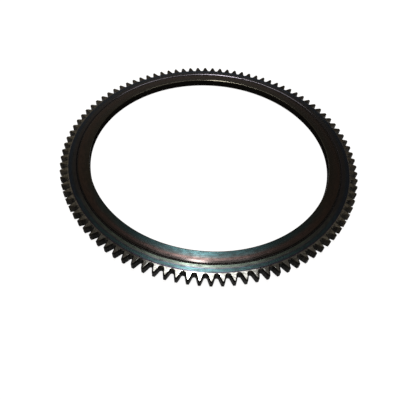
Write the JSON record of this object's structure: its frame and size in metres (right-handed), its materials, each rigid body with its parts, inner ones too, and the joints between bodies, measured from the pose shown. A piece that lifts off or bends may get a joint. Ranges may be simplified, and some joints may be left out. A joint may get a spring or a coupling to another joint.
{
  "type": "flywheel ring gear",
  "caption": "Flat toothed steel ring with a groove turned in its top face, shrunk onto a flywheel rim for the starter pinion to drive.",
  "frame": {"origin": "on the bore axis, in the plane of the bottom face that the ring lies on", "axes": "+Z along the bore axis, from the bottom face towards the grooved face; +X through the middle of one tooth"},
  "size_m": [0.303, 0.303, 0.0077],
  "materials": {
    "ring_gear": "turned steel, darkened and faintly heat-tinted, lightly oiled, tooth ends bright from cutting"
  },
  "bodies": {
    "root": {"ring_gear": "ring_gear"}
  },
  "joints": []
}
